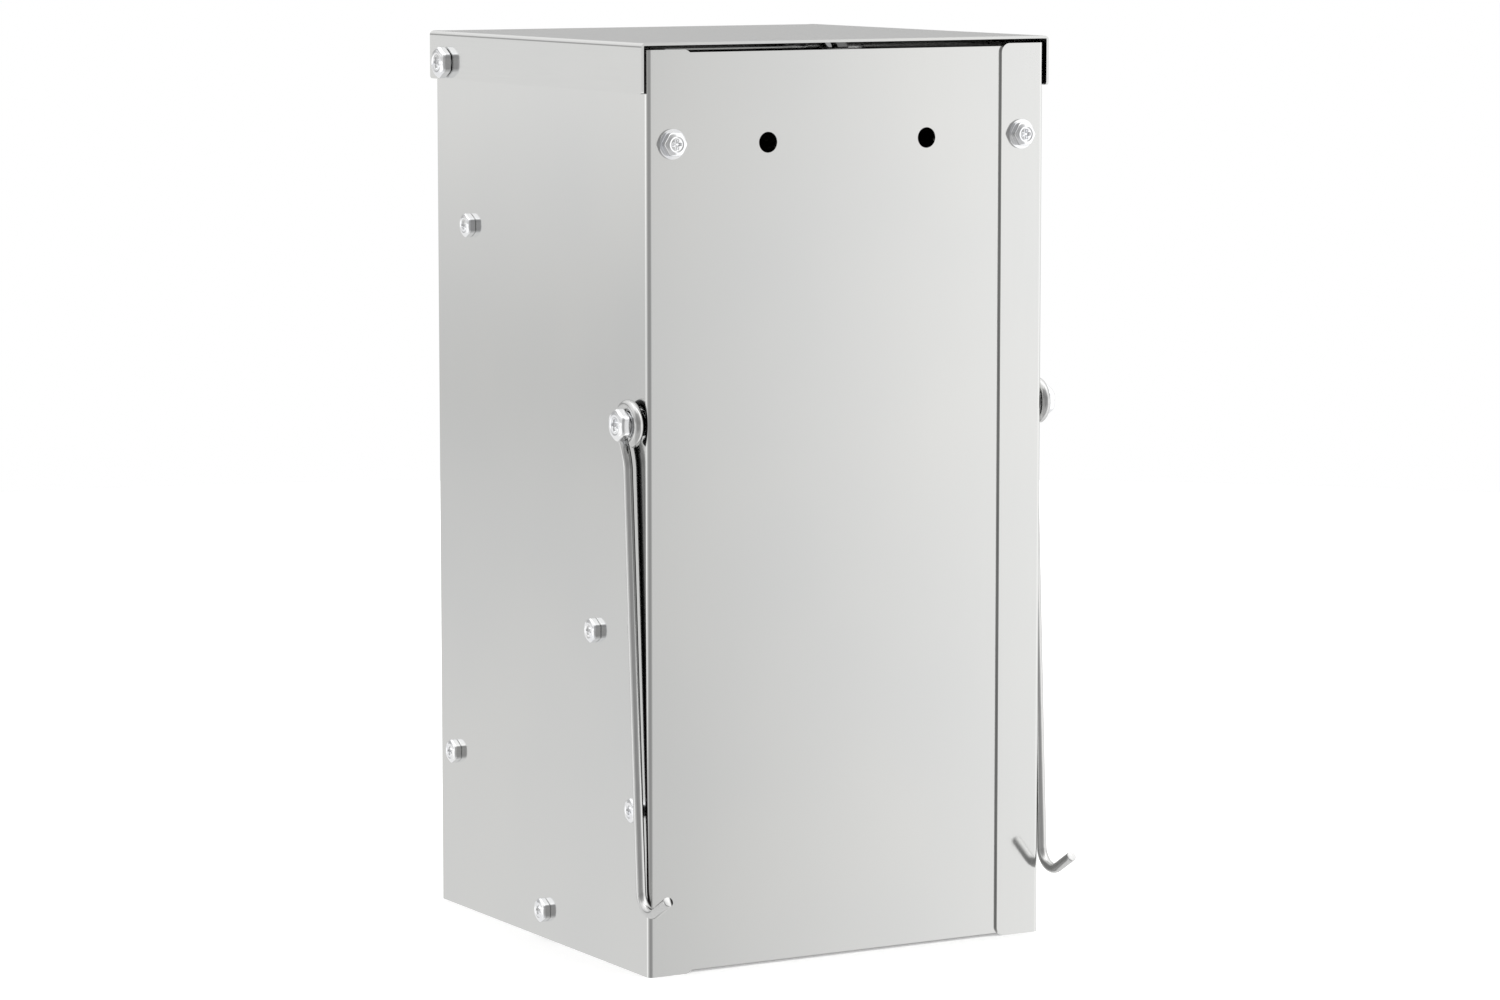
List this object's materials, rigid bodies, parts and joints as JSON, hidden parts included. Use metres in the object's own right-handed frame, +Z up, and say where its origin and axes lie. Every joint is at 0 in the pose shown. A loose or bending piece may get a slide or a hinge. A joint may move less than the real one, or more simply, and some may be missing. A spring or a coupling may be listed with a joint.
{
  "type": "dog waste bin",
  "caption": "Wall-hung stainless dog waste bin: folded box with slot flap, hinged lid, chute, pull-out waste drawer with key latch, and a swinging wire hook on each side.",
  "frame": {"origin": "middle of the base, on the plane it stands on", "axes": "+Z up, +Y out of the rear face that goes against the wall, +X to the right seen from the front"},
  "size_m": [0.2224, 0.256, 0.403],
  "materials": {
    "sheet": "polished stainless sheet",
    "fastener": "bright plated steel",
    "wire": "bright drawn stainless",
    "rubber": "matte moulded"
  },
  "bodies": {
    "housing": {"side_panel_left": "sheet", "side_panel_right": "sheet", "rear_panel": "sheet", "rear_screws": "fastener", "rear_washers": "fastener", "rear_nuts": "fastener", "base_pan": "sheet", "base_screws": "fastener", "base_nuts": "fastener", "chute_plate": "sheet", "flap_rod": "fastener", "chute_screws": "fastener", "chute_nuts": "fastener", "runner_left": "sheet", "runner_right": "sheet", "runner_screws": "fastener", "runner_nuts": "fastener", "lid_hinge_bolts": "fastener", "lid_hinge_bushes": "fastener", "lid_hinge_washers": "fastener", "lid_hinge_nuts": "fastener", "hook_pivot_bolts": "fastener", "hook_pivot_bushes": "fastener", "hook_pivot_nuts": "fastener"},
    "flap": {"slot_flap": "sheet"},
    "lid": {"lid": "sheet", "lid_buffers": "rubber"},
    "hook_right": {"hook_right": "wire"},
    "hook_left": {"hook_left": "wire"},
    "drawer": {"waste_drawer": "sheet", "drawer_front": "sheet", "drawer_rail_left": "sheet", "drawer_rail_right": "sheet", "rail_rivets": "fastener", "front_rivets": "fastener", "drawer_handle": "wire", "handle_screws": "fastener", "latch_housing": "fastener", "latch_nut": "fastener"},
    "latch": {"latch_plug": "fastener", "latch_cam": "fastener", "latch_cam_screw": "fastener"}
  },
  "joints": [
    {"name": "lid_hinge", "type": "hinge", "parent": "housing", "child": "lid", "pos_m": [0, -0.086, 0.389], "axis": [1, 0, 0], "range_deg": [0, 75]},
    {"name": "hook_right_pivot", "type": "hinge", "parent": "housing", "child": "hook_right", "pos_m": [0.1034, 0.0895, 0.24], "axis": [1, 0, 0], "range_deg": [0, 165]},
    {"name": "hook_left_pivot", "type": "hinge", "parent": "housing", "child": "hook_left", "pos_m": [-0.1034, 0.0895, 0.24], "axis": [1, 0, 0], "range_deg": [0, 165]},
    {"name": "slot_flap_hinge", "type": "hinge", "parent": "housing", "child": "flap", "pos_m": [0, -0.074, 0.39], "axis": [1, 0, 0], "range_deg": [-2, 80]},
    {"name": "drawer_slide", "type": "slide", "parent": "housing", "child": "drawer", "axis": [0, -1, 0], "range_m": [0, 0.1332]},
    {"name": "latch_turn", "type": "hinge", "parent": "drawer", "child": "latch", "pos_m": [0, -0.0945, 0.285], "axis": [0, -1, 0], "range_deg": [0, 90]}
  ]
}
